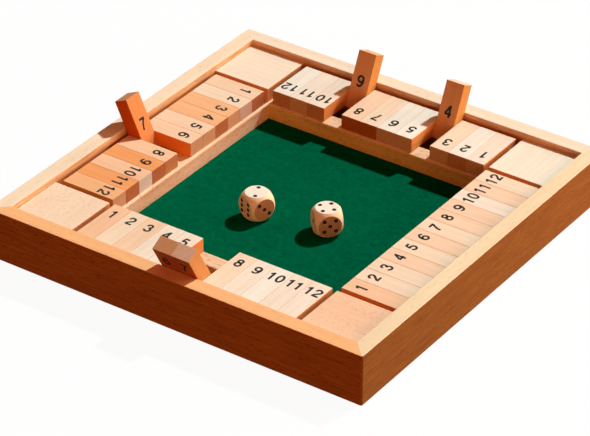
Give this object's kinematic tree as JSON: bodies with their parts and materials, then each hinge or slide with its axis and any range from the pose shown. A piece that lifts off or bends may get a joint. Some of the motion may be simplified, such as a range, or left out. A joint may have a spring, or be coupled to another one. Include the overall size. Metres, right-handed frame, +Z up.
{
  "type": "shut the box game",
  "caption": "Square wooden game box with a felt tray, rows of numbered tiles that flip over on steel rods along every side, and wooden dice.",
  "frame": {"origin": "middle of the underside, where the box stands", "axes": "+Z up, X along the front and back boards, Y along the left and right boards; the front row is at -Y"},
  "size_m": [0.34, 0.34, 0.0688],
  "materials": {
    "frame_beech": "satin lacquered beech",
    "tile_beech": "sanded beech",
    "block_beech": "sanded quarter-sawn beech",
    "rail_beech": "sanded beech",
    "plywood": "raw plywood",
    "felt": "green felt",
    "rod_steel": "drawn steel",
    "dice_beech": "smooth lacquered beech"
  },
  "bodies": {
    "box": {"base_board": "plywood", "felt": "felt", "inner_rails": "rail_beech", "corner_blocks": "block_beech", "pivot_rods": "rod_steel", "frame_front": "frame_beech", "frame_right": "frame_beech", "frame_back": "frame_beech", "frame_left": "frame_beech"},
    "front_01": {"tile_front_01": "tile_beech"},
    "front_02": {"tile_front_02": "tile_beech"},
    "front_03": {"tile_front_03": "tile_beech"},
    "front_04": {"tile_front_04": "tile_beech"},
    "front_05": {"tile_front_05": "tile_beech"},
    "front_06": {"tile_front_06": "tile_beech"},
    "front_07": {"tile_front_07": "tile_beech"},
    "front_08": {"tile_front_08": "tile_beech"},
    "front_09": {"tile_front_09": "tile_beech"},
    "front_10": {"tile_front_10": "tile_beech"},
    "front_11": {"tile_front_11": "tile_beech"},
    "front_12": {"tile_front_12": "tile_beech"},
    "right_01": {"tile_right_01": "tile_beech"},
    "right_02": {"tile_right_02": "tile_beech"},
    "right_03": {"tile_right_03": "tile_beech"},
    "right_04": {"tile_right_04": "tile_beech"},
    "right_05": {"tile_right_05": "tile_beech"},
    "right_06": {"tile_right_06": "tile_beech"},
    "right_07": {"tile_right_07": "tile_beech"},
    "right_08": {"tile_right_08": "tile_beech"},
    "right_09": {"tile_right_09": "tile_beech"},
    "right_10": {"tile_right_10": "tile_beech"},
    "right_11": {"tile_right_11": "tile_beech"},
    "right_12": {"tile_right_12": "tile_beech"},
    "back_01": {"tile_back_01": "tile_beech"},
    "back_02": {"tile_back_02": "tile_beech"},
    "back_03": {"tile_back_03": "tile_beech"},
    "back_04": {"tile_back_04": "tile_beech"},
    "back_05": {"tile_back_05": "tile_beech"},
    "back_06": {"tile_back_06": "tile_beech"},
    "back_07": {"tile_back_07": "tile_beech"},
    "back_08": {"tile_back_08": "tile_beech"},
    "back_09": {"tile_back_09": "tile_beech"},
    "back_10": {"tile_back_10": "tile_beech"},
    "back_11": {"tile_back_11": "tile_beech"},
    "back_12": {"tile_back_12": "tile_beech"},
    "left_01": {"tile_left_01": "tile_beech"},
    "left_02": {"tile_left_02": "tile_beech"},
    "left_03": {"tile_left_03": "tile_beech"},
    "left_04": {"tile_left_04": "tile_beech"},
    "left_05": {"tile_left_05": "tile_beech"},
    "left_06": {"tile_left_06": "tile_beech"},
    "left_07": {"tile_left_07": "tile_beech"},
    "left_08": {"tile_left_08": "tile_beech"},
    "left_09": {"tile_left_09": "tile_beech"},
    "left_10": {"tile_left_10": "tile_beech"},
    "left_11": {"tile_left_11": "tile_beech"},
    "left_12": {"tile_left_12": "tile_beech"},
    "die_near": {"die_near": "dice_beech"},
    "die_far": {"die_far": "dice_beech"}
  },
  "joints": [
    {"name": "flip_front_01", "type": "hinge", "parent": "box", "child": "front_01", "pos_m": [-0.09163, -0.1426, 0.0312], "axis": [1, 0, 0], "range_deg": [0, 118.35]},
    {"name": "flip_front_02", "type": "hinge", "parent": "box", "child": "front_02", "pos_m": [-0.07497, -0.1426, 0.0312], "axis": [1, 0, 0], "range_deg": [0, 118.35]},
    {"name": "flip_front_03", "type": "hinge", "parent": "box", "child": "front_03", "pos_m": [-0.05831, -0.1426, 0.0312], "axis": [1, 0, 0], "range_deg": [0, 118.35]},
    {"name": "flip_front_04", "type": "hinge", "parent": "box", "child": "front_04", "pos_m": [-0.04165, -0.1426, 0.0312], "axis": [1, 0, 0], "range_deg": [0, 118.35]},
    {"name": "flip_front_05", "type": "hinge", "parent": "box", "child": "front_05", "pos_m": [-0.02499, -0.1426, 0.0312], "axis": [1, 0, 0], "range_deg": [0, 118.35]},
    {"name": "flip_front_06", "type": "hinge", "parent": "box", "child": "front_06", "pos_m": [-0.00833, -0.1426, 0.0312], "axis": [1, 0, 0], "range_deg": [-118.35, 0]},
    {"name": "flip_front_07", "type": "hinge", "parent": "box", "child": "front_07", "pos_m": [0.00833, -0.1426, 0.0312], "axis": [1, 0, 0], "range_deg": [-118.35, 0]},
    {"name": "flip_front_08", "type": "hinge", "parent": "box", "child": "front_08", "pos_m": [0.02499, -0.1426, 0.0312], "axis": [1, 0, 0], "range_deg": [0, 118.35]},
    {"name": "flip_front_09", "type": "hinge", "parent": "box", "child": "front_09", "pos_m": [0.04165, -0.1426, 0.0312], "axis": [1, 0, 0], "range_deg": [0, 118.35]},
    {"name": "flip_front_10", "type": "hinge", "parent": "box", "child": "front_10", "pos_m": [0.05831, -0.1426, 0.0312], "axis": [1, 0, 0], "range_deg": [0, 118.35]},
    {"name": "flip_front_11", "type": "hinge", "parent": "box", "child": "front_11", "pos_m": [0.07497, -0.1426, 0.0312], "axis": [1, 0, 0], "range_deg": [0, 118.35]},
    {"name": "flip_front_12", "type": "hinge", "parent": "box", "child": "front_12", "pos_m": [0.09163, -0.1426, 0.0312], "axis": [1, 0, 0], "range_deg": [0, 118.35]},
    {"name": "flip_right_01", "type": "hinge", "parent": "box", "child": "right_01", "pos_m": [0.1437, -0.09163, 0.0312], "axis": [0, 1, 0], "range_deg": [0, 114.93]},
    {"name": "flip_right_02", "type": "hinge", "parent": "box", "child": "right_02", "pos_m": [0.1437, -0.07497, 0.0312], "axis": [0, 1, 0], "range_deg": [0, 114.93]},
    {"name": "flip_right_03", "type": "hinge", "parent": "box", "child": "right_03", "pos_m": [0.1437, -0.05831, 0.0312], "axis": [0, 1, 0], "range_deg": [0, 114.93]},
    {"name": "flip_right_04", "type": "hinge", "parent": "box", "child": "right_04", "pos_m": [0.1437, -0.04165, 0.0312], "axis": [0, 1, 0], "range_deg": [0, 114.93]},
    {"name": "flip_right_05", "type": "hinge", "parent": "box", "child": "right_05", "pos_m": [0.1437, -0.02499, 0.0312], "axis": [0, 1, 0], "range_deg": [0, 114.93]},
    {"name": "flip_right_06", "type": "hinge", "parent": "box", "child": "right_06", "pos_m": [0.1437, -0.00833, 0.0312], "axis": [0, 1, 0], "range_deg": [0, 114.93]},
    {"name": "flip_right_07", "type": "hinge", "parent": "box", "child": "right_07", "pos_m": [0.1437, 0.00833, 0.0312], "axis": [0, 1, 0], "range_deg": [0, 114.93]},
    {"name": "flip_right_08", "type": "hinge", "parent": "box", "child": "right_08", "pos_m": [0.1437, 0.02499, 0.0312], "axis": [0, 1, 0], "range_deg": [0, 114.93]},
    {"name": "flip_right_09", "type": "hinge", "parent": "box", "child": "right_09", "pos_m": [0.1437, 0.04165, 0.0312], "axis": [0, 1, 0], "range_deg": [0, 114.93]},
    {"name": "flip_right_10", "type": "hinge", "parent": "box", "child": "right_10", "pos_m": [0.1437, 0.05831, 0.0312], "axis": [0, 1, 0], "range_deg": [0, 114.93]},
    {"name": "flip_right_11", "type": "hinge", "parent": "box", "child": "right_11", "pos_m": [0.1437, 0.07497, 0.0312], "axis": [0, 1, 0], "range_deg": [0, 114.93]},
    {"name": "flip_right_12", "type": "hinge", "parent": "box", "child": "right_12", "pos_m": [0.1437, 0.09163, 0.0312], "axis": [0, 1, 0], "range_deg": [0, 114.93]},
    {"name": "flip_back_01", "type": "hinge", "parent": "box", "child": "back_01", "pos_m": [0.09163, 0.1438, 0.0312], "axis": [-1, 0, 0], "range_deg": [0, 114.6]},
    {"name": "flip_back_02", "type": "hinge", "parent": "box", "child": "back_02", "pos_m": [0.07497, 0.1438, 0.0312], "axis": [-1, 0, 0], "range_deg": [0, 114.6]},
    {"name": "flip_back_03", "type": "hinge", "parent": "box", "child": "back_03", "pos_m": [0.05831, 0.1438, 0.0312], "axis": [-1, 0, 0], "range_deg": [0, 114.6]},
    {"name": "flip_back_04", "type": "hinge", "parent": "box", "child": "back_04", "pos_m": [0.04165, 0.1438, 0.0312], "axis": [-1, 0, 0], "range_deg": [-114.6, 0]},
    {"name": "flip_back_05", "type": "hinge", "parent": "box", "child": "back_05", "pos_m": [0.02499, 0.1438, 0.0312], "axis": [-1, 0, 0], "range_deg": [0, 114.6]},
    {"name": "flip_back_06", "type": "hinge", "parent": "box", "child": "back_06", "pos_m": [0.00833, 0.1438, 0.0312], "axis": [-1, 0, 0], "range_deg": [0, 114.6]},
    {"name": "flip_back_07", "type": "hinge", "parent": "box", "child": "back_07", "pos_m": [-0.00833, 0.1438, 0.0312], "axis": [-1, 0, 0], "range_deg": [0, 114.6]},
    {"name": "flip_back_08", "type": "hinge", "parent": "box", "child": "back_08", "pos_m": [-0.02499, 0.1438, 0.0312], "axis": [-1, 0, 0], "range_deg": [0, 114.6]},
    {"name": "flip_back_09", "type": "hinge", "parent": "box", "child": "back_09", "pos_m": [-0.04165, 0.1438, 0.0312], "axis": [-1, 0, 0], "range_deg": [-114.6, 0]},
    {"name": "flip_back_10", "type": "hinge", "parent": "box", "child": "back_10", "pos_m": [-0.05831, 0.1438, 0.0312], "axis": [-1, 0, 0], "range_deg": [0, 114.6]},
    {"name": "flip_back_11", "type": "hinge", "parent": "box", "child": "back_11", "pos_m": [-0.07497, 0.1438, 0.0312], "axis": [-1, 0, 0], "range_deg": [0, 114.6]},
    {"name": "flip_back_12", "type": "hinge", "parent": "box", "child": "back_12", "pos_m": [-0.09163, 0.1438, 0.0312], "axis": [-1, 0, 0], "range_deg": [0, 114.6]},
    {"name": "flip_left_01", "type": "hinge", "parent": "box", "child": "left_01", "pos_m": [-0.1438, 0.09163, 0.0312], "axis": [0, -1, 0], "range_deg": [0, 114.6]},
    {"name": "flip_left_02", "type": "hinge", "parent": "box", "child": "left_02", "pos_m": [-0.1438, 0.07497, 0.0312], "axis": [0, -1, 0], "range_deg": [0, 114.6]},
    {"name": "flip_left_03", "type": "hinge", "parent": "box", "child": "left_03", "pos_m": [-0.1438, 0.05831, 0.0312], "axis": [0, -1, 0], "range_deg": [0, 114.6]},
    {"name": "flip_left_04", "type": "hinge", "parent": "box", "child": "left_04", "pos_m": [-0.1438, 0.04165, 0.0312], "axis": [0, -1, 0], "range_deg": [0, 114.6]},
    {"name": "flip_left_05", "type": "hinge", "parent": "box", "child": "left_05", "pos_m": [-0.1438, 0.02499, 0.0312], "axis": [0, -1, 0], "range_deg": [0, 114.6]},
    {"name": "flip_left_06", "type": "hinge", "parent": "box", "child": "left_06", "pos_m": [-0.1438, 0.00833, 0.0312], "axis": [0, -1, 0], "range_deg": [0, 114.6]},
    {"name": "flip_left_07", "type": "hinge", "parent": "box", "child": "left_07", "pos_m": [-0.1438, -0.00833, 0.0312], "axis": [0, -1, 0], "range_deg": [-114.6, 0]},
    {"name": "flip_left_08", "type": "hinge", "parent": "box", "child": "left_08", "pos_m": [-0.1438, -0.02499, 0.0312], "axis": [0, -1, 0], "range_deg": [0, 114.6]},
    {"name": "flip_left_09", "type": "hinge", "parent": "box", "child": "left_09", "pos_m": [-0.1438, -0.04165, 0.0312], "axis": [0, -1, 0], "range_deg": [0, 114.6]},
    {"name": "flip_left_10", "type": "hinge", "parent": "box", "child": "left_10", "pos_m": [-0.1438, -0.05831, 0.0312], "axis": [0, -1, 0], "range_deg": [0, 114.6]},
    {"name": "flip_left_11", "type": "hinge", "parent": "box", "child": "left_11", "pos_m": [-0.1438, -0.07497, 0.0312], "axis": [0, -1, 0], "range_deg": [0, 114.6]},
    {"name": "flip_left_12", "type": "hinge", "parent": "box", "child": "left_12", "pos_m": [-0.1438, -0.09163, 0.0312], "axis": [0, -1, 0], "range_deg": [0, 114.6]},
    {"name": "lift_die_near", "type": "slide", "parent": "box", "child": "die_near", "axis": [0, 0, 1], "range_m": [0, 0.08]},
    {"name": "lift_die_far", "type": "slide", "parent": "box", "child": "die_far", "axis": [0, 0, 1], "range_m": [0, 0.08]}
  ]
}
